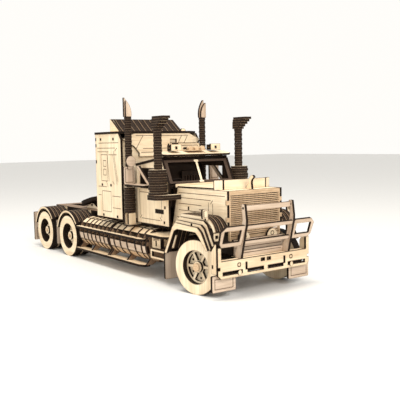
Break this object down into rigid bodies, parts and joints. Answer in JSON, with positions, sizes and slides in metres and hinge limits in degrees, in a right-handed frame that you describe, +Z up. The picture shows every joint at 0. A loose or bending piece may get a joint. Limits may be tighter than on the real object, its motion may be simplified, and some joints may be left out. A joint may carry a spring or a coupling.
{
  "type": "wooden truck puzzle model",
  "caption": "Laser-cut plywood puzzle model of a long-nosed road-train tractor with a sleeper cab, bull bar, tall stacks, steering front wheels, turning drive axles and a tilting fifth wheel.",
  "frame": {"origin": "on the ground, at the centre of the bounding box in plan", "axes": "+X forward (towards the bull bar), +Y to the truck's left, +Z up"},
  "size_m": [0.5242, 0.1528, 0.2299],
  "materials": {
    "birch_plywood": "matte sanded, burnt cut edges",
    "stacked_plywood": "matte, burnt edges of stacked plies",
    "shaded_plywood": "matte sanded, slightly smoked"
  },
  "bodies": {
    "truck": {"chassis_rails": "birch_plywood", "chassis_crossmembers": "birch_plywood", "rear_deck": "birch_plywood", "front_axle_beam": "birch_plywood", "rear_axle_brackets": "birch_plywood", "fuel_tank_ribs": "birch_plywood", "fuel_tank_planks": "birch_plywood", "tank_steps": "birch_plywood", "toolboxes": "birch_plywood", "cab_floor": "birch_plywood", "cab_sides": "birch_plywood", "cab_bulkheads": "birch_plywood", "windscreen_frame": "birch_plywood", "cab_roof": "birch_plywood", "sun_visor": "birch_plywood", "roof_lamps": "birch_plywood", "roof_unit": "birch_plywood", "seats": "birch_plywood", "dashboard": "birch_plywood", "sleeper_sides": "birch_plywood", "sleeper_shelves": "birch_plywood", "sleeper_back": "birch_plywood", "sleeper_front": "birch_plywood", "sleeper_roof": "birch_plywood", "roof_deflector": "stacked_plywood", "hood_sides": "birch_plywood", "hood_top": "birch_plywood", "grille": "birch_plywood", "stone_guard": "birch_plywood", "hood_ornament": "birch_plywood", "fender_plates": "birch_plywood", "fender_skins": "stacked_plywood", "lamps": "birch_plywood", "rear_arch_ribs": "birch_plywood", "rear_arch_skins": "stacked_plywood", "mudflaps": "shaded_plywood", "bumper": "birch_plywood", "bumper_ends": "birch_plywood", "front_valance": "birch_plywood", "bull_bar": "shaded_plywood", "bull_bar_wings": "shaded_plywood", "exhaust_stacks": "stacked_plywood", "exhaust_tips": "birch_plywood", "intake_canisters": "stacked_plywood", "intake_stacks": "stacked_plywood", "mirrors": "birch_plywood", "fifth_wheel_stand": "birch_plywood"},
    "knuckle_right": {"knuckle_right": "birch_plywood"},
    "knuckle_left": {"knuckle_left": "birch_plywood"},
    "tie_rod": {"tie_rod": "birch_plywood"},
    "front_wheel_right": {"front_tyre_right": "stacked_plywood", "front_rim_right": "birch_plywood"},
    "front_wheel_left": {"front_tyre_left": "stacked_plywood", "front_rim_left": "birch_plywood"},
    "drive_axle_front": {"drive_axle_1": "birch_plywood", "drive_tyres_1": "stacked_plywood"},
    "drive_axle_rear": {"drive_axle_2": "birch_plywood", "drive_tyres_2": "stacked_plywood"},
    "fifth_wheel": {"fifth_wheel_plate": "birch_plywood"}
  },
  "joints": [
    {"name": "steer_right", "type": "hinge", "parent": "truck", "child": "knuckle_right", "pos_m": [0.20693, -0.05, 0.031], "axis": [0, 0, 1], "range_deg": [-43.5, 20.5]},
    {"name": "steer_left", "type": "hinge", "parent": "truck", "child": "knuckle_left", "pos_m": [0.20693, 0.05, 0.031], "axis": [0, 0, 1], "range_deg": [-43.5, 20.5]},
    {"name": "tie_rod_pivot", "type": "hinge", "parent": "knuckle_right", "child": "tie_rod", "pos_m": [0.18537, -0.05439, 0.0385], "axis": [0, 0, 1], "range_deg": [-20.5, 43.5]},
    {"name": "front_spin_right", "type": "hinge", "parent": "knuckle_right", "child": "front_wheel_right", "pos_m": [0.20693, -0.05, 0.031], "axis": [-0.1994, 0.9799, 0], "continuous": true},
    {"name": "front_spin_left", "type": "hinge", "parent": "knuckle_left", "child": "front_wheel_left", "pos_m": [0.20693, 0.05, 0.031], "axis": [-0.1994, 0.9799, 0], "continuous": true},
    {"name": "drive_spin_front", "type": "hinge", "parent": "truck", "child": "drive_axle_front", "pos_m": [-0.12507, 0, 0.031], "axis": [0, 1, 0], "continuous": true},
    {"name": "drive_spin_rear", "type": "hinge", "parent": "truck", "child": "drive_axle_rear", "pos_m": [-0.21337, 0, 0.031], "axis": [0, 1, 0], "continuous": true},
    {"name": "fifth_wheel_tilt", "type": "hinge", "parent": "truck", "child": "fifth_wheel", "pos_m": [-0.14507, 0, 0.0735], "axis": [0, 1, 0], "range_deg": [0, 25]}
  ],
  "couplings": [
    {"joint": "steer_left", "follows": "steer_right", "ratio": 1},
    {"joint": "tie_rod_pivot", "follows": "steer_right", "ratio": -1}
  ]
}
